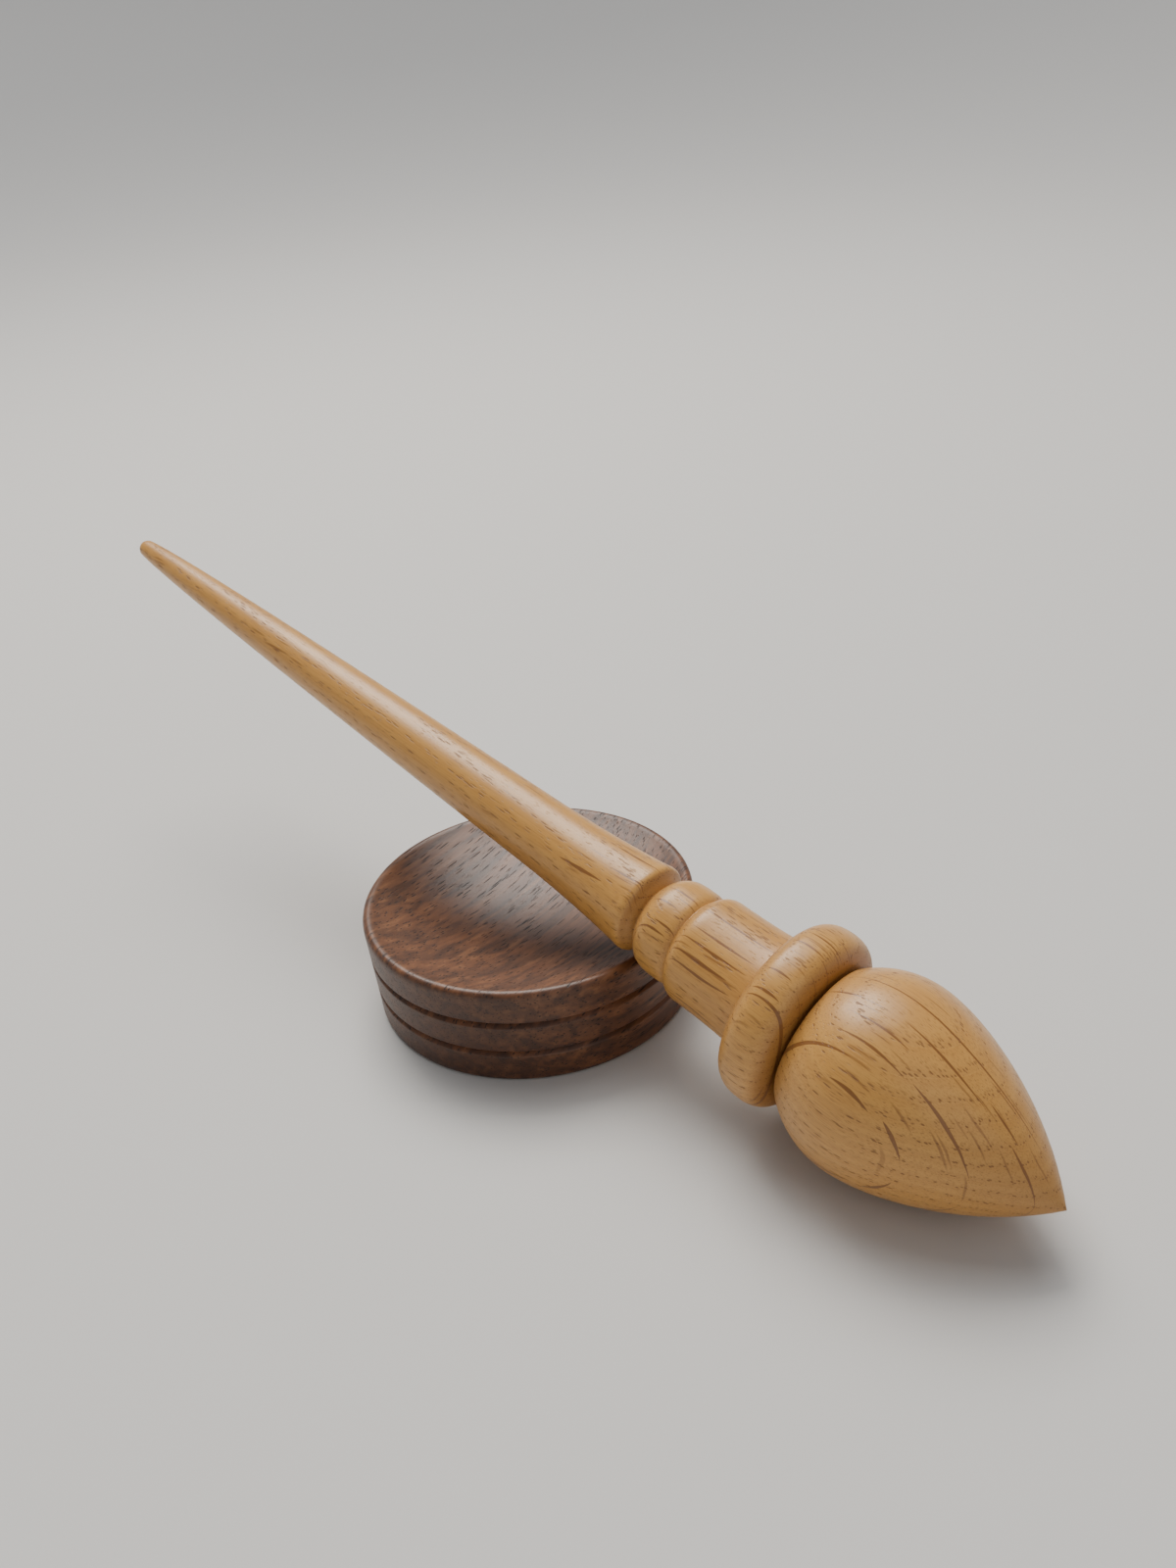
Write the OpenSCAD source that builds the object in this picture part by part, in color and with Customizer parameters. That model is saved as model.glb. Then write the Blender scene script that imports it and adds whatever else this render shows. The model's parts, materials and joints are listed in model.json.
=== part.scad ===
// Support spindle lying across its dish.
// The spindle is one piece of turned oak: shaft, neck, bead, barrel, collar and bulb with its point.
// The dish is one piece of turned walnut. In use the point turns in its hollow. At rest, as drawn here,
// the bulb lies on the table and the neck lies over the dish's rim.
// Origin at the centre of the dish's underside, +Z up, +X towards the spindle's point. Millimetres.

/* [Shaft] */
// Length of the shaft, from its tip to the widest place of its foot
shaft_len = 188; // [160:1:220]
// Diameter that the taper starts from at the tip
tip_d = 3.8; // [3:0.1:6]
// Length of the rounding at the tip
tip_round = 2; // [1:0.1:3]
// Diameter where the foot begins to flare
waist_d = 15.2; // [11:0.1:17]
// How fast the taper fills out, where 1 is a straight cone
taper_power = 0.62; // [0.5:0.01:1]
// Length of the flare above the foot
flare_len = 30; // [15:1:45]
// Diameter of the foot
foot_d = 19.2; // [17.5:0.1:22]
// Radius that rounds the foot's lower edge
foot_round = 1.2; // [0.6:0.1:2]

/* [Neck between foot and bead] */
// Length of the neck, from the foot's widest place to the bead's top edge
neck_len = 3.4; // [2.6:0.1:5]
// How deep the neck is cut below the foot
neck_depth = 2.7; // [1.5:0.1:4]
// Length of the small step up to the bead's top edge
step_len = 0.3; // [0.1:0.05:0.6]

/* [Bead] */
// Diameter of the bead
bead_d = 20.5; // [18:0.1:23]
// Length from the bead's top edge to its widest place
bead_top_len = 6.5; // [4:0.1:9]
// How far the top edge lies inside the bead's widest place
bead_top_drop = 2.4; // [1:0.1:3]
// Length from the bead's widest place to the groove under it
bead_low_len = 3.1; // [2:0.1:5]
// Depth of the groove below the bead
groove_depth = 0.8; // [0.3:0.05:1.5]
// How square the bead is, where 2 is round
bead_power = 3.6; // [2:0.1:5]

/* [Barrel] */
// Diameter of the barrel
barrel_d = 22.8; // [20.5:0.1:25]
// Length of the barrel, from the groove to the collar
barrel_len = 19.3; // [12:0.1:30]
// Length of the rounding at the barrel's top
barrel_round = 3.5; // [2:0.1:6]
// How much the barrel's radius swells towards the collar
barrel_swell = 0.6; // [0:0.05:1.5]

/* [Collar] */
// Diameter of the collar
collar_d = 37; // [30:0.1:42]
// Length of the collar
collar_len = 11.3; // [8:0.1:16]
// How square the collar is, where 2 is round
collar_power = 2.6; // [2:0.1:4]

/* [Cove between collar and bulb] */
// Diameter at the bottom of the cove
cove_d = 22; // [18:0.1:24]
// Length of the cove
cove_len = 0.8; // [0.5:0.1:3]

/* [Bulb] */
// Diameter of the bulb
bulb_d = 38.7; // [34:0.1:44]
// Length from the bulb's top edge to its widest place
bulb_top_len = 12.9; // [8:0.1:15]
// Length from the bulb's widest place to its point
bulb_nose_len = 36.9; // [28:0.1:50]
// Half angle of the point, in degrees
point_angle = 49; // [38:1:60]
// How far the bulb's full width carries on towards the point
nose_fullness = 9; // [4:0.5:14]
// How far the cone of the point carries back up
point_reach = 16.5; // [10:0.5:20]

/* [Dish] */
// Diameter of the dish at its rim
dish_d = 72; // [60:0.5:90]
// Diameter of the dish's underside, before its edge is rounded
base_d = 70; // [56:0.5:90]
// Height of the dish
dish_h = 22.8; // [18:0.1:30]
// Radius of the rounded rim
lip_r = 1.3; // [1:0.1:2.5]
// Depth of the hollow
hollow_depth = 7; // [4:0.1:10]
// Radius that rounds the edge of the underside
edge_round = 1; // [0.5:0.1:2]
// Height of the lower groove
low_groove_z = 7.3; // [5:0.1:8]
// Height of the upper groove
high_groove_z = 14.8; // [12:0.1:16]
// Width of the grooves
side_groove_w = 1.6; // [0.8:0.1:2.4]
// Depth of the grooves
side_groove_depth = 1.1; // [0.5:0.1:2]

/* [How the spindle lies] */
// Where the dish's rim crosses the spindle, measured from the foot's widest place
rim_crosses_at = 2.6; // [1:0.1:4]
// How far the spindle lies to one side of the dish's centre
side_offset = 2.6; // [0:0.1:8]
// Clearance between the spindle and the rim
rim_gap = 0.2; // [0.1:0.05:0.6]
// Clearance between the bulb and the table
table_gap = 0.2; // [0.1:0.05:0.5]

/* [Hidden] */
$fn = 96;

// Stations along the spindle, from the shaft's tip
waist_z = shaft_len - flare_len;
bead_z = shaft_len + neck_len;
bead_wide_z = bead_z + bead_top_len;
groove_z = bead_wide_z + bead_low_len;
shoulder_z = groove_z + barrel_round;
collar_z = groove_z + barrel_len;
cove_z = collar_z + collar_len;
bulb_z = cove_z + cove_len;
bulb_wide_z = bulb_z + bulb_top_len;
point_z = bulb_wide_z + bulb_nose_len;

// Radii along the spindle
foot_r = foot_d / 2;
neck_r = foot_r - neck_depth;
bead_r = bead_d / 2;
bead_top_r = bead_r - bead_top_drop;
groove_r = bead_r - groove_depth;
barrel_r = barrel_d / 2;
barrel_end_r = barrel_r + barrel_swell;
collar_r = collar_d / 2;
cove_r = cove_d / 2;
bulb_r = bulb_d / 2;

// Exponents of the smooth curves
flare_power = 2;
shoulder_power = 2.6;
swell_power = 3;
shaft_spacing_power = 1.5;

// Points on each curve
tip_steps = 6;
shaft_steps = 18;
flare_steps = 8;
round_steps = 4;
bead_steps = 6;
barrel_steps = 6;
collar_steps = 18;
bulb_steps = 9;
nose_steps = 20;
hollow_steps = 14;
lip_steps = 12;

// Share of the hollow's slope that is searched for the seat, and the steps of the search
rim_share = 0.3;
rim_steps = 14;
gap_steps = 3;
search_angle = 14;
search_steps = 14;
halvings = 16;
steepest_lean = 40;

// Radius of the plain taper, whose power curve runs on to the foot
function taper_r(z) = tip_d / 2 + (waist_d - tip_d) / 2 * pow(z / waist_z, taper_power);
// What the flare adds to it
function flare_r(z) = (foot_r - taper_r(shaft_len)) * pow(max(0, z - waist_z) / flare_len, flare_power);
// A power of the size of v, with the sign of v
function signed_pow(v, p) = sign(v) * pow(abs(v), p);
// Cubic curve from p0 to p3 at the share t
function bezier(p0, p1, p2, p3, t) =
    pow(1 - t, 3) * p0 + 3 * pow(1 - t, 2) * t * p1 + 3 * (1 - t) * t * t * p2 + pow(t, 3) * p3;

// All outlines below are lists of [radius, place along the axis]
shaft_tip = [for (i = [0 : tip_steps])
    let (turn = 90 * i / tip_steps, z = tip_round * (1 - cos(turn)))
    [taper_r(z) * sin(turn), z]];
shaft_taper = [for (i = [1 : shaft_steps])
    let (z = tip_round + (waist_z - tip_round) * pow(i / shaft_steps, shaft_spacing_power))
    [taper_r(z), z]];
shaft_flare = [for (i = [1 : flare_steps])
    let (z = waist_z + flare_len * i / flare_steps)
    [taper_r(z) + flare_r(z), z]];
foot_edge = [for (i = [1 : round_steps])
    let (turn = 75 * i / round_steps)
    [foot_r - foot_round * (1 - cos(turn)), shaft_len + foot_round * sin(turn)]];
neck = [[neck_r, bead_z - 2 * step_len], [neck_r, bead_z - step_len]];
bead_top = [for (i = [0 : bead_steps])
    let (u = sin(90 * (1 - i / bead_steps)))
    [bead_r - bead_top_drop * pow(u, bead_power), bead_wide_z - bead_top_len * u]];
bead_low = [for (i = [1 : bead_steps])
    let (u = sin(90 * i / bead_steps))
    [bead_r - groove_depth * pow(u, bead_power), bead_wide_z + bead_low_len * u]];
barrel_top = [for (i = [1 : barrel_steps])
    let (u = i / barrel_steps)
    [barrel_r - (barrel_r - groove_r) * pow(1 - u, shoulder_power), groove_z + barrel_round * u]];
barrel_side = [for (i = [1 : barrel_steps])
    let (u = i / barrel_steps)
    [barrel_r + barrel_swell * pow(u, swell_power), shoulder_z + (collar_z - shoulder_z) * u]];
collar = [for (i = [1 : collar_steps])
    let (turn = 180 * (1 - i / collar_steps), half = collar_len / 2)
    [barrel_end_r + (collar_r - barrel_end_r) * pow(abs(sin(turn)), 2 / collar_power),
     collar_z + half + half * signed_pow(cos(turn), 2 / collar_power)]];
cove = [[cove_r, cove_z + cove_len / 3], [cove_r, cove_z + 2 * cove_len / 3]];
bulb_top = [for (i = [0 : bulb_steps])
    let (turn = asin(bulb_top_len / bulb_r) * (1 - i / bulb_steps))
    [bulb_r * cos(turn), bulb_wide_z - bulb_r * sin(turn)]];
bulb_nose = [for (i = [1 : nose_steps])
    bezier([bulb_r, bulb_wide_z],
           [bulb_r, bulb_wide_z + nose_fullness],
           [point_reach * sin(point_angle), point_z - point_reach * cos(point_angle)],
           [0, point_z],
           i / nose_steps)];
spindle_outline = concat(shaft_tip, shaft_taper, shaft_flare, foot_edge, neck, bead_top, bead_low,
                         barrel_top, barrel_side, collar, cove, bulb_top, bulb_nose);

// The dish's hollow is part of a ball that runs smoothly into its rounded rim
lip_centre_r = dish_d / 2 - lip_r;
lip_centre_z = dish_h - lip_r;
hollow_to_lip = (pow(lip_centre_r, 2) + pow(hollow_depth, 2)) / (2 * hollow_depth);
hollow_r = hollow_to_lip - lip_r;
hollow_edge_angle = asin(lip_centre_r / hollow_to_lip);
hollow_centre_z = dish_h - hollow_depth + hollow_r;
// Radius of the dish's side at a height
function side_r(z) = base_d / 2 + (dish_d - base_d) / 2 * z / lip_centre_z;
function side_groove(z) = [
    [side_r(z - side_groove_w / 2), z - side_groove_w / 2],
    [side_r(z) - side_groove_depth, z],
    [side_r(z + side_groove_w / 2), z + side_groove_w / 2]];
base_edge = [for (i = [0 : round_steps])
    let (turn = 90 * i / round_steps)
    [side_r(edge_round) - edge_round * (1 - sin(turn)), edge_round * (1 - cos(turn))]];
lip = [for (i = [0 : lip_steps])
    let (turn = (90 + hollow_edge_angle) * i / lip_steps)
    [lip_centre_r + lip_r * cos(turn), lip_centre_z + lip_r * sin(turn)]];
hollow = [for (i = [1 : hollow_steps])
    let (turn = hollow_edge_angle * (1 - i / hollow_steps))
    [hollow_r * sin(turn), hollow_centre_z - hollow_r * cos(turn)]];
dish_outline = concat([[0, 0]], base_edge, side_groove(low_groove_z), side_groove(high_groove_z), lip, hollow);

// Outline of the dish near its rim, as [radius, height]: the lip and the hollow's outer share
near_rim = concat(lip, [for (i = [1 : rim_steps])
    let (turn = hollow_edge_angle * (1 - rim_share * i / rim_steps))
    [hollow_r * sin(turn), hollow_centre_z - hollow_r * cos(turn)]]);
rim_station = shaft_len + rim_crosses_at;
rim_turn = asin(side_offset / lip_centre_r);
rim_x = lip_centre_r * cos(rim_turn);
radius_table = [for (p = spindle_outline) [p[1], p[0]]];
// Least distance from the axis, at the station s, at which a point lies rim_gap clear of the outline
function clear_distance(s) = max([for (i = [-gap_steps : gap_steps])
    let (t = i / gap_steps)
    lookup(s + rim_gap * t, radius_table) + rim_gap * sqrt(1 - t * t)]);
function line_of(lean) = [cos(lean), 0, -sin(lean)];
// Where the shaft's tip lies for a lean of the axis, with the bulb just above the table
function tip_height(lean) = table_gap + max([for (p = spindle_outline) p[1] * sin(lean) + p[0] * cos(lean)]);
function tip_at(lean) = let (h = tip_height(lean))
    [rim_x - (rim_station + (lip_centre_z - h) * sin(lean)) / cos(lean), side_offset, h];
// How far a point of the dish lies beyond the gap round the spindle, below zero where it is too close
function point_clearance(radius, height, turn, tip, line) =
    let (away = [radius * cos(turn), radius * sin(turn), height] - tip)
    norm(cross(away, line)) - clear_distance(away * line);
function rim_clearance(lean) =
    let (tip = tip_at(lean), line = line_of(lean))
    min([for (place = near_rim) for (i = [-search_steps : search_steps])
        point_clearance(place[0], place[1], rim_turn + search_angle * i / search_steps, tip, line)]);
// The lean that lays the spindle on the rim and on the table, found by halving the range
function solve_lean(low, high, steps) = let (mid = (low + high) / 2)
    steps == 0 ? mid
    : rim_clearance(mid) < 0 ? solve_lean(mid, high, steps - 1)
    : solve_lean(low, mid, steps - 1);
lean = solve_lean(0, steepest_lean, halvings);
tip_place = tip_at(lean);

module support_dish() {
    color("saddlebrown")
    rotate_extrude() polygon(dish_outline);
}

module spindle() {
    color("burlywood")
    translate(tip_place)
    rotate([0, 90 + lean, 0])
    rotate_extrude() polygon(spindle_outline);
}

support_dish();
spindle();
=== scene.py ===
"""Support spindle lying across its dish: turned surfaces in oiled oak and polished walnut on a pale floor.

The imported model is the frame. Each turned piece here takes its outline from the CAD node that it replaces, so
the sizes stay the model's own, and adds smooth curves, softened edges and the grain of the wood.
"""
import json
import math

import bpy
import numpy as np
from mathutils import Matrix, Vector


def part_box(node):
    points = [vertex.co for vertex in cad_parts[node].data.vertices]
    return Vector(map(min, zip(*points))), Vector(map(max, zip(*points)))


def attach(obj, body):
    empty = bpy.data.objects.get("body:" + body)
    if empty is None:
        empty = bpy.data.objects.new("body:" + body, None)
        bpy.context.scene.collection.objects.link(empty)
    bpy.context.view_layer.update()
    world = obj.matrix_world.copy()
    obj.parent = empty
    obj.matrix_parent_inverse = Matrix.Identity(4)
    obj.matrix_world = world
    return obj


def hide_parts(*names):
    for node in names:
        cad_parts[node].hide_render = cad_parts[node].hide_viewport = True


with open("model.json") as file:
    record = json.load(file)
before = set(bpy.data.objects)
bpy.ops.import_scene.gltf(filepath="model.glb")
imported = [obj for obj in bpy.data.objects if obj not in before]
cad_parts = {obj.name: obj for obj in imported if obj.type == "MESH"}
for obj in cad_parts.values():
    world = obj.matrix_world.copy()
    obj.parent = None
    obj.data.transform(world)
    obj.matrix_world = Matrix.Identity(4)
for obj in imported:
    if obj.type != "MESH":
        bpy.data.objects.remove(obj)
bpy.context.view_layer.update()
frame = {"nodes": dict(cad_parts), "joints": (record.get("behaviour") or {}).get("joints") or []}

bl_info = {
    "name": "Turned Support Spindle",
    "version": (1, 0, 0),
    "blender": (4, 5, 0),
    "location": "View3D > Sidebar > Spindle",
    "description": "Makes the oak support spindle, its walnut dish and a plain studio around them",
    "category": "Object",
}

MM = 0.001

# The spindle turns about this line, which the model's joint gives
spin_joint = frame["joints"][0]
spindle_start = Vector(spin_joint["pos_m"])
spindle_line = Vector(spin_joint["axis"]).normalized()

# How finely the pieces are turned: spacing of the rings along the outline, and points in each ring
SPINDLE_SPACING = 0.75 * MM
SPINDLE_SEGMENTS = 144
DISH_SPACING = 0.5 * MM
DISH_SEGMENTS = 256

# Height of a point inside the dish's half section, as a share of the sum of its lowest and highest points
DISH_SECTION_SHARE = 0.35

# Grid on which the corners of a node's mesh count as one point of its outline, and least step between two points
OUTLINE_GRID = 0.02 * MM
OUTLINE_LEAST_STEP = 0.06 * MM
# Turn above which a corner stays crisp, points on the curve that softens it, and most of a side that it takes
CRISP_CORNER = math.radians(27)
CORNER_STEPS = 5
CORNER_SHARE = 0.45
# Length that a side has at least where another length is divided by it, in metres
TINY = 1e-9

# Broad rays of the oak, read from the photograph, in millimetres:
# offset to the side of the axis, start and end along the axis from the shaft's tip, half thickness
BROAD_RAYS = [
    (6.8, 169.0, 181.0, 0.34),
    (-0.9, 177.0, 189.0, 0.20),
    (4.2, 180.0, 190.0, 0.18),
    (4.4, 192.0, 198.5, 0.16),
    (1.0, 193.0, 201.0, 0.16),
    (8.7, 193.0, 199.5, 0.24),
    (7.6, 195.5, 201.0, 0.20),
    (1.8, 201.0, 220.0, 0.18),
    (7.8, 202.0, 218.5, 0.20),
    (9.6, 202.0, 215.5, 0.36),
    (10.7, 202.5, 217.5, 0.24),
    (5.8, 203.0, 218.5, 0.20),
    (13.6, 222.0, 245.0, 0.36),
    (2.1, 222.0, 229.5, 0.18),
    (9.3, 222.5, 228.0, 0.20),
    (12.6, 222.5, 228.5, 0.24),
    (-1.3, 223.0, 231.0, 0.18),
    (-0.6, 232.5, 276.0, 0.18),
    (4.4, 232.5, 240.0, 0.18),
    (7.7, 239.5, 251.5, 0.18),
    (11.0, 239.5, 253.5, 0.22),
    (16.5, 243.0, 251.5, 0.32),
    (4.3, 247.0, 265.5, 0.20),
    (15.9, 254.0, 259.0, 0.34),
    (10.6, 254.5, 269.0, 0.30),
    (3.0, 265.0, 272.0, 0.18),
    (4.1, 271.0, 278.5, 0.22),
]
# How far a broad ray fades out on each side, in millimetres
RAY_EDGE = 0.10

# Middle of the walnut's rings, in metres, and a direction close to across them
WALNUT_HEART = Vector((0.012, 0.0, -0.03))
WALNUT_LIFT = Vector((0.55, 0.0, 0.84))
# How much the walnut's grain rises for each metre along the table
WALNUT_RISE = 0.05

# Soft lights: name, place and size in metres, power in watts, colour
SOFT_LIGHTS = (
    ("key_light", (-0.50, 0.30, 0.95), 0.6, 9.5, (1.0, 0.95, 0.88)),
    ("fill_light", (0.95, -0.35, 0.80), 0.9, 1.4, (0.97, 0.98, 1.0)),
)
LIGHT_AIM = (0.03, 0.0, 0.02)
SKY_SOURCE = (-0.45, 0.30, 1.0)
SKY_WIDTH = math.radians(55)
SKY_STRENGTH = 1.6
ROOM_COLOUR = (0.86, 0.88, 0.92)
ROOM_STRENGTH = 0.28

# The floor: points along each side, and how far the middle of each edge rises, in metres
FLOOR_COUNT = 81
FLOOR_RISE = 0.5
FLOOR_ROUGHNESS = 0.7

# Height of the camera's frame, in millimetres, and the nearest distance that it shows, in metres
FRAME_HEIGHT = 36.0
NEAREST = 0.01


class Wire:
    """One output of a material's nodes. Operators on wires and numbers add the Math nodes for them."""

    def __init__(self, shade, socket):
        self.shade = shade
        self.socket = socket

    def math(self, operation, *others):
        return self.shade.math(operation, self, *others)

    def __add__(self, other):
        return self.shade.math("ADD", self, other)

    def __radd__(self, other):
        return self.shade.math("ADD", other, self)

    def __sub__(self, other):
        return self.shade.math("SUBTRACT", self, other)

    def __rsub__(self, other):
        return self.shade.math("SUBTRACT", other, self)

    def __mul__(self, other):
        return self.shade.math("MULTIPLY", self, other)

    def __rmul__(self, other):
        return self.shade.math("MULTIPLY", other, self)

    def __truediv__(self, other):
        return self.shade.math("DIVIDE", self, other)

    def __pow__(self, other):
        return self.shade.math("POWER", self, other)

    def __abs__(self):
        return self.shade.math("ABSOLUTE", self)


class Shade:
    """The node tree of one material, with short names for the nodes that wood needs."""

    def __init__(self, name):
        self.material = bpy.data.materials.new(name)
        self.material.use_nodes = True
        self.tree = self.material.node_tree
        self.tree.nodes.clear()

    def node(self, kind, settings, inputs):
        """Adds a node, applies its settings first and then the values or links of its sockets."""
        made = self.tree.nodes.new(kind)
        for name, value in settings.items():
            setattr(made, name, value)
        for key, value in inputs.items():
            if isinstance(value, Wire):
                self.tree.links.new(value.socket, made.inputs[key])
            else:
                made.inputs[key].default_value = value
        return made

    def math(self, operation, *values):
        made = self.node("ShaderNodeMath", {"operation": operation}, dict(enumerate(values)))
        return Wire(self, made.outputs[0])

    def place(self):
        """The place on the piece, in its own coordinates."""
        return Wire(self, self.node("ShaderNodeTexCoord", {}, {}).outputs["Object"])

    def facing(self):
        """The direction in which the surface faces, in the piece's own coordinates."""
        return Wire(self, self.node("ShaderNodeTexCoord", {}, {}).outputs["Normal"])

    def shifted(self, vector, origin):
        made = self.node("ShaderNodeVectorMath", {"operation": "SUBTRACT"}, {0: vector, 1: tuple(origin)})
        return Wire(self, made.outputs[0])

    def dot(self, vector, direction):
        inputs = {0: vector, 1: tuple(direction)}
        made = self.node("ShaderNodeVectorMath", {"operation": "DOT_PRODUCT"}, inputs)
        return Wire(self, made.outputs["Value"])

    def vector(self, x, y, z):
        return Wire(self, self.node("ShaderNodeCombineXYZ", {}, {0: x, 1: y, 2: z}).outputs[0])

    def noise(self, x, y, z, detail=2.0):
        """Soft noise from 0 to 1 whose patches are about one unit of x, y and z across."""
        inputs = {"Vector": self.vector(x, y, z), "Scale": 1.0, "Detail": detail}
        return Wire(self, self.node("ShaderNodeTexNoise", {}, inputs).outputs[0])

    def cells(self, x, y, z):
        """Distance to the nearest of many scattered points, about one in each unit of x, y and z."""
        made = self.node("ShaderNodeTexVoronoi", {}, {"Vector": self.vector(x, y, z), "Scale": 1.0})
        return Wire(self, made.outputs["Distance"])

    def step(self, value, start, end):
        """Runs smoothly from 0 at start to 1 at end. start may be the larger one."""
        low, high = min(start, end), max(start, end)
        out_low, out_high = (0.0, 1.0) if start < end else (1.0, 0.0)
        made = self.node(
            "ShaderNodeMapRange",
            {"interpolation_type": "SMOOTHSTEP"},
            {0: value, 1: low, 2: high, 3: out_low, 4: out_high},
        )
        return Wire(self, made.outputs[0])

    def blend(self, first, second, share):
        """A colour between two colours."""
        made = self.node("ShaderNodeMix", {"data_type": "RGBA"}, {0: share, 6: first, 7: second})
        return Wire(self, made.outputs[2])

    def layered(self, colour, layers):
        """Lays colours over the first one. Each layer is its colour and the share that it covers."""
        for tint, share in layers:
            colour = self.blend(colour, opaque(tint), share)
        return colour

    def finish(self, colour, roughness, height, depth, coat):
        """Joins colour, roughness and relief to the surface. depth is the relief's depth in metres."""
        relief = self.node("ShaderNodeBump", {}, {"Strength": 1.0, "Distance": depth, "Height": height})
        surface = self.node(
            "ShaderNodeBsdfPrincipled",
            {},
            {
                "Base Color": colour,
                "Roughness": roughness,
                "Normal": Wire(self, relief.outputs[0]),
                "Coat Weight": coat,
                "Coat Roughness": 0.18,
                "IOR": 1.5,
            },
        )
        self.node("ShaderNodeOutputMaterial", {}, {"Surface": Wire(self, surface.outputs[0])})
        return self.material


def opaque(colour):
    return (*colour, 1.0)


def wood_axes(line, lift):
    """Directions across the rings, along the rings and along the grain. lift is close to across the rings."""
    along = Vector(line).normalized()
    side = along.cross(Vector(lift)).normalized()
    return side.cross(along), side, along


class Grain:
    """The space of one piece of wood: distances in millimetres across the rings, beside them and along it."""

    def __init__(self, shade, origin, axes):
        self.shade = shade
        self.axes = axes
        moved = shade.shifted(shade.place(), origin)
        self.across, self.side, self.along = [shade.dot(moved, axis / MM) for axis in axes]

    def noise(self, width, length, detail=2.0):
        """Soft patches of that width and length in millimetres, long along the grain."""
        return self.shade.noise(self.across / width, self.side / width, self.along / length, detail)

    def cells(self, width, length):
        """Distance to scattered points, one in each cell of that width and length in millimetres."""
        return self.shade.cells(self.across / width, self.side / width, self.along / length)

    def end_on(self):
        """1 where the surface is square to the grain and 0 where it runs along it."""
        return abs(self.shade.dot(self.shade.facing(), self.axes[2]))


def broad_ray_mask(shade, side, along, wander, squareness):
    """1 on each broad ray and 0 elsewhere: thin sheets that run along the axis and taper at both ends.

    squareness is 1 where the surface crosses the sheets squarely, and falls towards 0 where it runs beside
    them. The distance from a sheet is divided by it, so that a ray looks equally wide on every side.
    """
    mask = 0.0
    for offset, start, end, half in BROAD_RAYS:
        middle = (start + end) / 2
        reach = (end - start) / 2
        taper = (1 - abs(along - middle) / reach).math("MAXIMUM", 0.0)
        apart = abs(side + wander - offset) / squareness
        ray = shade.step(taper ** 0.5 * (half + RAY_EDGE) - apart, 0.0, RAY_EDGE)
        mask = ray if isinstance(mask, float) else mask.math("MAXIMUM", ray)
    return mask


def oak_rings(shade, grain, spacing):
    """Early wood and late wood of each year's growth, both from 0 to 1. The rings bend and vary in width."""
    slow = grain.noise(width=14, length=70) - 0.5
    uneven = shade.noise(grain.across / 5, 0.0, 0.0) - 0.5
    ring = grain.across + slow * 2.6 + uneven * 1.8 + grain.side * grain.side / 130
    phase = (ring / spacing).math("FRACT")
    early = shade.step(phase, 0.50, 0.12) * shade.step(phase, 0.0, 0.05)
    return early, shade.step(phase, 0.45, 0.98)


def oak_pores(shade, grain, early):
    """Open pores: large ones in the early wood and small ones in the rest."""
    large_pore = shade.step(grain.cells(width=0.46, length=3.4), 0.40, 0.24) * early
    small_pore = shade.step(grain.cells(width=0.40, length=3.0), 0.26, 0.12) * (1 - early) * 0.6
    return large_pore.math("MAXIMUM", small_pore)


def oak_rays(shade, grain):
    """Rays: many fine flecks, fewer middle ones and the broad ones that are listed one by one.

    Fine and middle rays are cells drawn out across the rings and along the grain, and thin to the side.
    """
    side, along, across = grain.side, grain.along, grain.across
    wander = (shade.noise(across / 9, along / 26, 0.0) - 0.5) * 1.3
    bent_side = side + wander
    beside = shade.dot(shade.facing(), grain.axes[1])
    squareness = (1.02 - beside * beside) ** 0.5
    crossing = shade.step(squareness, 0.12, 0.55)
    fine_cells = shade.cells(bent_side / 0.82, along / 15, across / 20)
    middle_cells = shade.cells(bent_side / 2.0, along / 60, across / 26 + 7.0)
    fine_ray = shade.step(fine_cells, 0.25, 0.13) * crossing
    middle_ray = shade.step(middle_cells, 0.13, 0.07) * crossing
    broad_ray = broad_ray_mask(shade, side, along, wander * 0.4, squareness)
    return (fine_ray * 0.62).math("MAXIMUM", middle_ray * 0.80).math("MAXIMUM", broad_ray)


def oak_material(oak):
    """Quarter-turned oak: ring bands with rows of open pores, fine and broad rays, darker end grain."""
    shade = Shade("oiled_oak")
    lift = Vector((0.0, 0.0, 1.0))
    lift.rotate(Matrix.Rotation(oak.grain_turn, 3, spindle_line))
    grain = Grain(shade, spindle_start, wood_axes(spindle_line, lift))
    early, late = oak_rings(shade, grain, oak.ring_spacing / MM)
    fibre = grain.noise(width=0.22, length=9, detail=3.0)
    cloud = grain.noise(width=9, length=34)
    pore = oak_pores(shade, grain, early)
    ray = oak_rays(shade, grain)
    end_grain = shade.step(grain.end_on(), 0.35, 0.95)
    layers = (
        (oak.late_colour, late * 0.28 + (1 - cloud) * 0.45),
        (oak.early_colour, early * 0.22),
        (oak.early_colour, shade.step(fibre, 0.46, 0.70) * 0.45),
        (oak.pore_colour, pore * 0.70),
        (oak.ray_colour, ray * 0.88),
        (oak.end_colour, end_grain * 0.50),
    )
    colour = shade.layered(opaque(oak.light_colour), layers)
    roughness = 0.36 + pore * 0.22 - ray * 0.08 + end_grain * 0.12
    turning_marks = shade.noise(grain.along / 0.35, 0.0, 0.0, 1.0) * 0.25
    height = fibre * 0.15 + turning_marks - pore * 0.9
    return shade.finish(colour, roughness, height, oak.pore_depth, 0.12)


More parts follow.
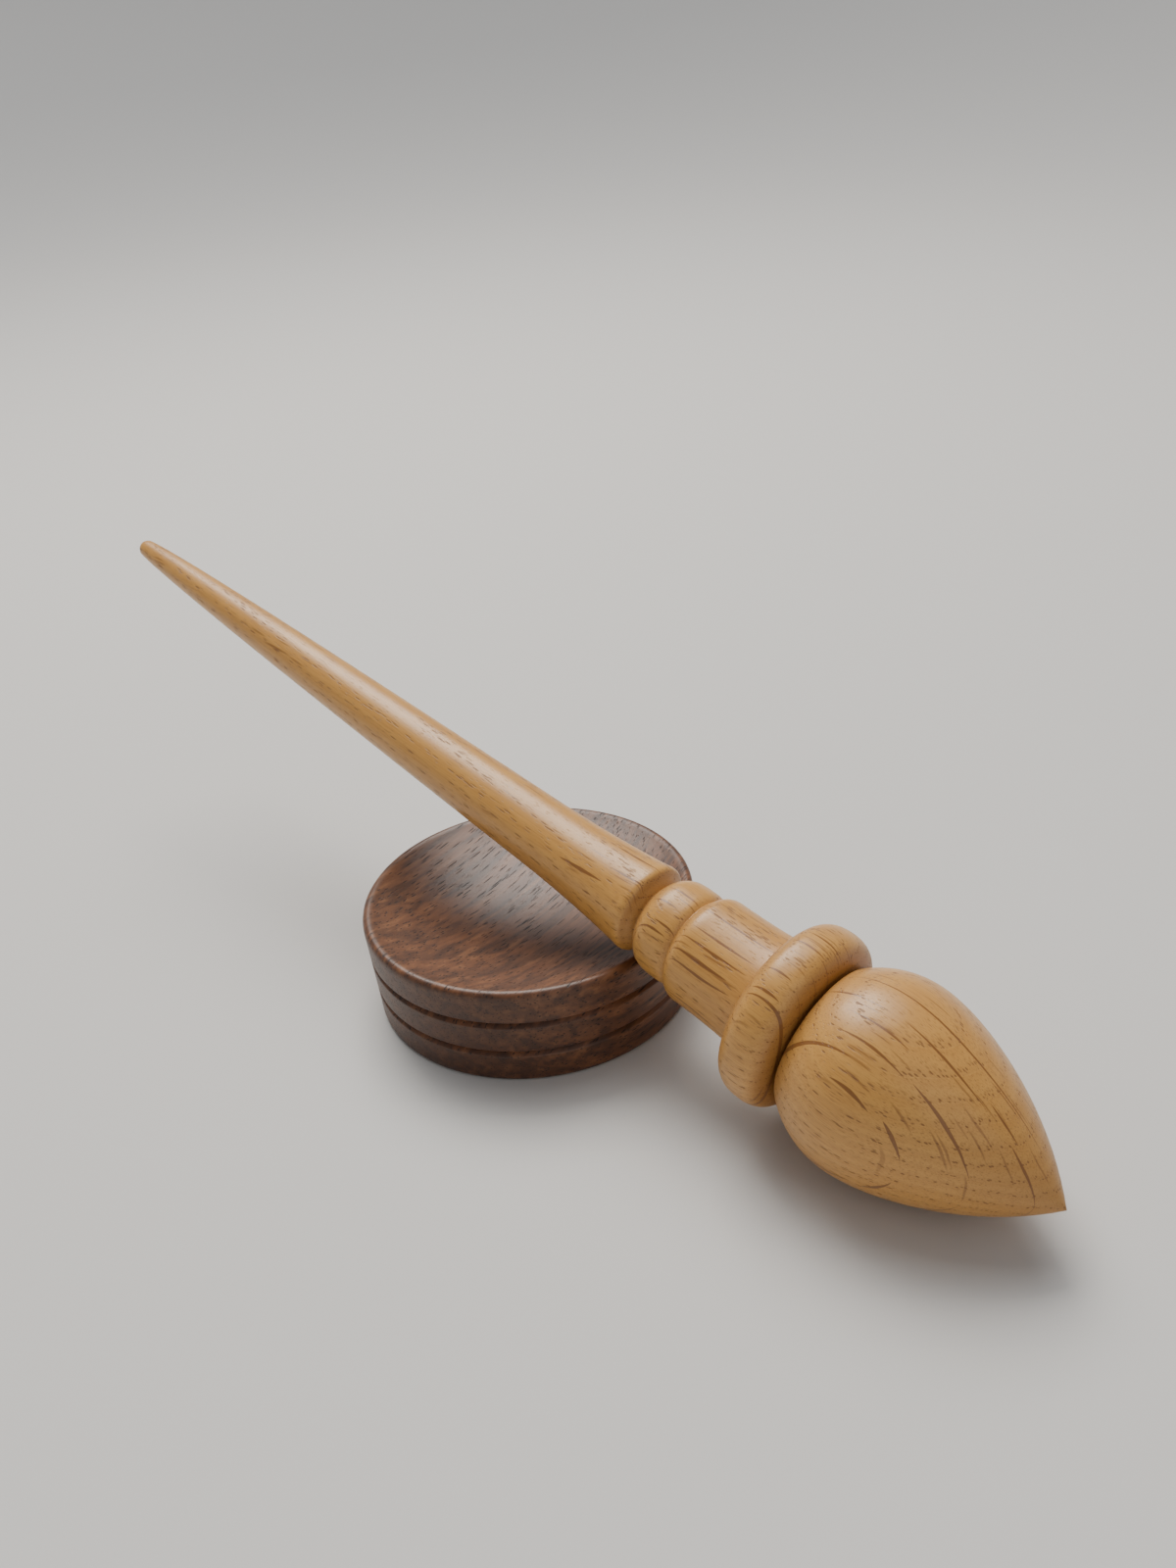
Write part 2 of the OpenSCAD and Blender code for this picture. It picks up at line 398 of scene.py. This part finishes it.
def walnut_material(walnut):
    """Dark walnut with its grain lying across the dish: streaks, long open pores and a polished surface."""
    shade = Shade("polished_walnut")
    line = Vector((math.sin(walnut.grain_turn), math.cos(walnut.grain_turn), WALNUT_RISE))
    grain = Grain(shade, WALNUT_HEART, wood_axes(line, WALNUT_LIFT))
    slow = grain.noise(width=16, length=60) - 0.5
    phase = ((grain.across + slow * 6) / (walnut.band_spacing / MM)).math("FRACT")
    band = shade.step(phase, 0.25, 0.95) * shade.step(phase, 1.0, 0.93)
    streak = grain.noise(width=1.5, length=42, detail=3.0)
    fibre = grain.noise(width=0.25, length=11, detail=3.0)
    pore = shade.step(grain.cells(width=0.62, length=7.5), 0.30, 0.16)
    fine_pore = shade.step(grain.cells(width=0.4, length=4.0), 0.22, 0.10)
    marks = pore.math("MAXIMUM", fine_pore * 0.6)
    layers = (
        (walnut.dark_colour, band * 0.55),
        (walnut.dark_colour, shade.step(streak, 0.48, 0.66) * 0.75),
        (walnut.light_colour, shade.step(streak, 0.46, 0.30) * 0.60),
        (walnut.light_colour, shade.step(fibre, 0.55, 0.75) * 0.25),
        (walnut.pore_colour, marks * 0.85),
        (walnut.dark_colour, shade.step(grain.end_on(), 0.55, 1.0) * 0.55),
    )
    colour = shade.layered(opaque(walnut.mid_colour), layers)
    roughness = 0.40 + marks * 0.18 + fibre * 0.05
    height = fibre * 0.12 - marks * 0.9
    return shade.finish(colour, roughness, height, walnut.pore_depth, 0.08)


def floor_material(colour):
    shade = Shade("pale_floor")
    inputs = {"Base Color": opaque(colour), "Roughness": FLOOR_ROUGHNESS}
    surface = shade.node("ShaderNodeBsdfPrincipled", {}, inputs)
    shade.node("ShaderNodeOutputMaterial", {}, {"Surface": Wire(shade, surface.outputs[0])})
    return shade.material


def read_outline(node, origin, line, centre=None):
    """The outline of a turned CAD node as rows of (distance along its line, radius), in metres.

    Each corner of the mesh gives its distance s along the line and its radius r. Equal pairs are one point of
    the outline. They are put in order by s and then r, or by their angle about the place on the line that
    centre gives, for a section that turns back on itself.
    """
    mesh = frame["nodes"][node].data
    corners = np.empty(len(mesh.vertices) * 3)
    mesh.vertices.foreach_get("co", corners)
    away = corners.reshape(-1, 3) - np.array(origin)
    s = away @ np.array(line)
    r = np.linalg.norm(away - np.outer(s, line), axis=1)
    rows = np.round(np.stack([s, r], axis=1) / OUTLINE_GRID).astype(int)
    pairs = np.unique(rows, axis=0) * OUTLINE_GRID
    if centre is None:
        return pairs
    angle = np.arctan2(pairs[:, 0] - centre, pairs[:, 1])
    return pairs[np.argsort(angle)]


def without_doubles(points, least):
    """Drops points that lie closer than least to the one before."""
    kept = [points[0]]
    for point in points[1:]:
        if np.linalg.norm(point - kept[-1]) > least:
            kept.append(point)
    return np.array(kept)


def corner_places(points, sharp):
    """Indices of the ends and of each point where the outline turns by more than sharp."""
    steps = np.diff(points, axis=0)
    heading = np.unwrap(np.arctan2(steps[:, 1], steps[:, 0]))
    turns = np.abs(np.diff(heading))
    return [0] + [i + 1 for i in np.nonzero(turns > sharp)[0]] + [len(points) - 1]


def curve_through(points, spacing):
    """Smooth curve through the points: a cubic between each pair, with its neighbours' chord as its slope."""
    if len(points) == 2:
        count = max(2, int(np.linalg.norm(points[1] - points[0]) / spacing) + 1)
        share = np.linspace(0, 1, count)[:, None]
        return points[0] * (1 - share) + points[1] * share
    chord = np.linalg.norm(np.diff(points, axis=0), axis=1)
    place = np.concatenate([[0], np.cumsum(chord)])
    slope = np.gradient(points, place, axis=0)
    wanted = np.linspace(0, place[-1], max(3, int(place[-1] / spacing) + 1))
    i = np.clip(np.searchsorted(place, wanted, side="right") - 1, 0, len(chord) - 1)
    h = chord[i][:, None]
    t = ((wanted - place[i]) / chord[i])[:, None]
    return (
        (2 * t**3 - 3 * t**2 + 1) * points[i]
        + (t**3 - 2 * t**2 + t) * h * slope[i]
        + (3 * t**2 - 2 * t**3) * points[i + 1]
        + (t**3 - t**2) * h * slope[i + 1]
    )


def softened_corner(before, corner, after, radius):
    """Points of a parabola that cuts the corner between its two neighbours."""
    back = before - corner
    ahead = after - corner
    start = corner + back * min(CORNER_SHARE, radius / max(np.linalg.norm(back), TINY))
    end = corner + ahead * min(CORNER_SHARE, radius / max(np.linalg.norm(ahead), TINY))
    t = np.linspace(0, 1, CORNER_STEPS)[:, None]
    return start * (1 - t) ** 2 + corner * 2 * t * (1 - t) + end * t**2


def dressed_outline(points, spacing, radius):
    """The outline with smooth curves between its crisp corners, and each corner softened by a small radius."""
    points = without_doubles(points, OUTLINE_LEAST_STEP)
    places = corner_places(points, CRISP_CORNER)
    runs = [curve_through(points[a : b + 1], spacing) for a, b in zip(places[:-1], places[1:])]
    rows = [runs[0][:-1]]
    for left, right in zip(runs[:-1], runs[1:]):
        rows.append(softened_corner(left[-2], left[-1], right[1], radius))
        rows.append(right[1:-1])
    rows.append(runs[-1][-1:])
    whole = np.concatenate(rows)
    whole[0, 1] = 0.0
    whole[-1, 1] = 0.0
    whole[:, 1] = np.maximum(whole[:, 1], 0.0)
    return whole


def smooth_object(name, corners, faces):
    """A piece with smooth shading, linked to the scene."""
    mesh = bpy.data.meshes.new(name)
    mesh.from_pydata(corners.tolist(), [], faces)
    mesh.polygons.foreach_set("use_smooth", [True] * len(mesh.polygons))
    mesh.update()
    piece = bpy.data.objects.new(name, mesh)
    bpy.context.scene.collection.objects.link(piece)
    return piece


def turned_piece(name, outline, origin, line, segments):
    """A closed surface of revolution.

    Its point (i, j) is origin + s[i] * line + r[i] * (cos(t[j]) * first + sin(t[j]) * second), where s and r
    are the outline's rows, t[j] = 2 * pi * j / segments, and first and second are square to the line and to
    each other. The outline's two ends lie on the line, and each is one point.
    """
    axis = np.array(line)
    first = np.cross([0.0, 1.0, 0.0], axis)
    first /= np.linalg.norm(first)
    second = np.cross(axis, first)
    turn = np.arange(segments) * 2 * np.pi / segments
    spoke = np.cos(turn)[:, None] * first + np.sin(turn)[:, None] * second
    rings = outline[1:-1]
    places = np.array(origin) + rings[:, 0, None, None] * axis + rings[:, 1, None, None] * spoke
    ends = np.array(origin) + outline[[0, -1], 0][:, None] * axis
    corners = np.concatenate([places.reshape(-1, 3), ends])
    count = len(rings)
    i, j = np.meshgrid(np.arange(count - 1) * segments, np.arange(segments), indexing="ij")
    k = (j + 1) % segments
    quads = np.stack([i + j, i + k, i + segments + k, i + segments + j], axis=-1).reshape(-1, 4)
    j = np.arange(segments)
    k = (j + 1) % segments
    first_pole = count * segments
    last_ring = (count - 1) * segments
    start_fan = np.stack([np.full(segments, first_pole), k, j], axis=1)
    end_fan = np.stack([np.full(segments, first_pole + 1), last_ring + j, last_ring + k], axis=1)
    return smooth_object(name, corners, quads.tolist() + start_fan.tolist() + end_fan.tolist())


def flat_sheet(name, width):
    """The floor: point (u, v) lies at (u, v, rise), where rise grows with the fourth power of the radius."""
    run = np.linspace(-width / 2, width / 2, FLOOR_COUNT)
    u, v = np.meshgrid(run, run, indexing="ij")
    rise = FLOOR_RISE * (np.hypot(u, v) / (width / 2)) ** 4
    corners = np.stack([u, v, rise], axis=-1).reshape(-1, 3)
    i, j = np.meshgrid(np.arange(FLOOR_COUNT - 1), np.arange(FLOOR_COUNT - 1), indexing="ij")
    a = i * FLOOR_COUNT + j
    faces = np.stack([a, a + FLOOR_COUNT, a + FLOOR_COUNT + 1, a + 1], axis=-1).reshape(-1, 4)
    return smooth_object(name, corners, faces.tolist())


def colour_property(title, words, colour):
    return bpy.props.FloatVectorProperty(
        name=title, description=words, default=colour, subtype="COLOR", size=3, min=0.0, max=1.0
    )


def length_property(title, words, size):
    return bpy.props.FloatProperty(
        name=title, description=words, default=size, unit="LENGTH", precision=5
    )


def angle_property(title, words, degrees):
    return bpy.props.FloatProperty(
        name=title, description=words, default=math.radians(degrees), unit="ROTATION"
    )


class OakFinish(bpy.types.PropertyGroup):
    """Sizes and colours of the oak spindle."""

    ring_spacing: length_property("Ring spacing", "Thickness of one year's growth", 2.2 * MM)
    pore_depth: length_property("Pore depth", "Depth of the open pores", 0.05 * MM)
    edge_radius: length_property("Edge radius", "Cut that softens each crisp edge", 0.18 * MM)
    grain_turn: angle_property("Grain turn", "Turn of the growth rings about the axis", -4)
    light_colour: colour_property("Light wood", "Wood between the rings", (0.66, 0.345, 0.088))
    late_colour: colour_property("Late wood", "Dense wood of each ring", (0.52, 0.240, 0.052))
    early_colour: colour_property("Early wood", "Open wood of each ring", (0.38, 0.165, 0.040))
    pore_colour: colour_property("Pores", "Open pores", (0.15, 0.055, 0.014))
    ray_colour: colour_property("Rays", "Rays that cross the rings", (0.205, 0.078, 0.020))
    end_colour: colour_property("End grain", "Faces square to the grain", (0.24, 0.095, 0.024))


class WalnutFinish(bpy.types.PropertyGroup):
    """Sizes and colours of the walnut dish."""

    band_spacing: length_property("Band spacing", "Distance between the dark bands", 6.0 * MM)
    pore_depth: length_property("Pore depth", "Depth of the open pores", 0.04 * MM)
    edge_radius: length_property("Edge radius", "Cut that softens each crisp edge", 0.22 * MM)
    grain_turn: angle_property("Grain turn", "Turn of the grain from the Y axis", -7)
    mid_colour: colour_property("Walnut", "Main colour", (0.150, 0.056, 0.021))
    light_colour: colour_property("Light streaks", "Lighter streaks", (0.250, 0.104, 0.040))
    dark_colour: colour_property("Dark streaks", "Darker streaks", (0.048, 0.018, 0.009))
    pore_colour: colour_property("Pores", "Open pores", (0.010, 0.004, 0.003))


class StudioSettings(bpy.types.PropertyGroup):
    """The floor and the camera."""

    floor_width: length_property("Floor width", "Width of the floor", 5.0)
    floor_colour: colour_property("Floor", "Colour of the floor", (0.66, 0.645, 0.62))
    eye: bpy.props.FloatVectorProperty(
        name="Eye",
        description="Place of the camera",
        default=(0.1949, -0.1549, 0.1895),
        subtype="TRANSLATION",
    )
    heading: angle_property("Heading", "Turn of the view from the X axis", 137.97)
    fall: angle_property("Fall", "Angle of the view below the horizon", 29.67)
    roll: angle_property("Roll", "Turn of the camera about its view", 5.59)
    focal_length: bpy.props.FloatProperty(
        name="Focal length", description="In millimetres, for a frame 36 mm high", default=31.5
    )


class OBJECT_OT_turn_spindle(bpy.types.Operator):
    """Turn the spindle in oak: shaft, bead, barrel, collar and bulb in one piece."""

    bl_idname = "object.turn_spindle"
    bl_label = "Turn Spindle"

    def execute(self, context):
        oak = context.scene.oak_finish
        points = read_outline("spindle", spindle_start, spindle_line)
        outline = dressed_outline(points, SPINDLE_SPACING, oak.edge_radius)
        piece = turned_piece("turned_spindle", outline, spindle_start, spindle_line, SPINDLE_SEGMENTS)
        piece.data.materials.append(oak_material(oak))
        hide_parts("spindle")
        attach(piece, "spindle")
        return {"FINISHED"}


class OBJECT_OT_turn_dish(bpy.types.Operator):
    """Turn the dish in walnut: a shallow hollow, a rounded rim and two grooves round the side."""

    bl_idname = "object.turn_dish"
    bl_label = "Turn Dish"

    def execute(self, context):
        walnut = context.scene.walnut_finish
        low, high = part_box("support_dish")
        centre = ((low.x + high.x) / 2, (low.y + high.y) / 2, 0.0)
        upright = (0.0, 0.0, 1.0)
        points = read_outline("support_dish", centre, upright, (low.z + high.z) * DISH_SECTION_SHARE)
        outline = dressed_outline(points, DISH_SPACING, walnut.edge_radius)
        piece = turned_piece("turned_dish", outline, centre, upright, DISH_SEGMENTS)
        piece.data.materials.append(walnut_material(walnut))
        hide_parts("support_dish")
        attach(piece, "dish")
        return {"FINISHED"}


def soft_light(name, place, size, power, colour):
    """A square soft light that faces the object."""
    data = bpy.data.lights.new(name, "AREA")
    data.shape = "SQUARE"
    data.size = size
    data.energy = power
    data.color = colour
    light = bpy.data.objects.new(name, data)
    light.location = place
    light.rotation_euler = (Vector(LIGHT_AIM) - Vector(place)).to_track_quat("-Z", "Y").to_euler()
    bpy.context.scene.collection.objects.link(light)


def sky_light():
    """An even light over the whole floor, as from a wide window."""
    data = bpy.data.lights.new("sky_light", "SUN")
    data.angle = SKY_WIDTH
    data.energy = SKY_STRENGTH
    light = bpy.data.objects.new("sky_light", data)
    light.rotation_euler = Vector(SKY_SOURCE).to_track_quat("Z", "Y").to_euler()
    bpy.context.scene.collection.objects.link(light)


def pale_room():
    """The even light that comes from all around."""
    world = bpy.data.worlds.new("pale_room")
    world.use_nodes = True
    background = world.node_tree.nodes["Background"]
    background.inputs["Color"].default_value = opaque(ROOM_COLOUR)
    background.inputs["Strength"].default_value = ROOM_STRENGTH
    bpy.context.scene.world = world


def place_camera(studio):
    """Looks along heading and fall, and rolls about that line."""
    level = math.cos(studio.fall)
    toward = (math.cos(studio.heading) * level, math.sin(studio.heading) * level, -math.sin(studio.fall))
    ahead = Vector(toward)
    right = Vector((math.sin(studio.heading), -math.cos(studio.heading), 0.0))
    down = ahead.cross(right)
    rolled_right = right * math.cos(studio.roll) + down * math.sin(studio.roll)
    rolled_down = down * math.cos(studio.roll) - right * math.sin(studio.roll)
    data = bpy.data.cameras.new("photo_camera")
    data.sensor_fit = "VERTICAL"
    data.sensor_height = FRAME_HEIGHT
    data.lens = studio.focal_length
    data.clip_start = NEAREST
    camera = bpy.data.objects.new("photo_camera", data)
    turned = Matrix((rolled_right, -rolled_down, -ahead)).transposed().to_4x4()
    camera.matrix_world = Matrix.Translation(studio.eye) @ turned
    bpy.context.scene.collection.objects.link(camera)
    bpy.context.scene.camera = camera


class SCENE_OT_studio(bpy.types.Operator):
    """Lay the pale floor and set the soft lights and the camera."""

    bl_idname = "scene.spindle_studio"
    bl_label = "Set Up Studio"

    def execute(self, context):
        studio = context.scene.studio_settings
        floor = flat_sheet("floor", studio.floor_width)
        floor.data.materials.append(floor_material(studio.floor_colour))
        for name, place, size, power, colour in SOFT_LIGHTS:
            soft_light(name, place, size, power, colour)
        sky_light()
        pale_room()
        place_camera(studio)
        return {"FINISHED"}


class VIEW3D_PT_spindle(bpy.types.Panel):
    """The sidebar's list of sizes, colours and makers."""

    bl_label = "Support Spindle"
    bl_space_type = "VIEW_3D"
    bl_region_type = "UI"
    bl_category = "Spindle"

    def draw(self, context):
        for settings, maker in (
            (context.scene.oak_finish, OBJECT_OT_turn_spindle),
            (context.scene.walnut_finish, OBJECT_OT_turn_dish),
            (context.scene.studio_settings, SCENE_OT_studio),
        ):
            box = self.layout.box()
            for name in type(settings).__annotations__:
                box.prop(settings, name)
            box.operator(maker.bl_idname)


CLASSES = (
    OakFinish,
    WalnutFinish,
    StudioSettings,
    OBJECT_OT_turn_spindle,
    OBJECT_OT_turn_dish,
    SCENE_OT_studio,
    VIEW3D_PT_spindle,
)


def register():
    for kind in CLASSES:
        bpy.utils.register_class(kind)
    bpy.types.Scene.oak_finish = bpy.props.PointerProperty(type=OakFinish)
    bpy.types.Scene.walnut_finish = bpy.props.PointerProperty(type=WalnutFinish)
    bpy.types.Scene.studio_settings = bpy.props.PointerProperty(type=StudioSettings)


def unregister():
    del bpy.types.Scene.studio_settings
    del bpy.types.Scene.walnut_finish
    del bpy.types.Scene.oak_finish
    for kind in reversed(CLASSES):
        bpy.utils.unregister_class(kind)


def main():
    register()
    bpy.ops.scene.spindle_studio()
    bpy.ops.object.turn_dish()
    bpy.ops.object.turn_spindle()


if __name__ == "__main__":
    main()
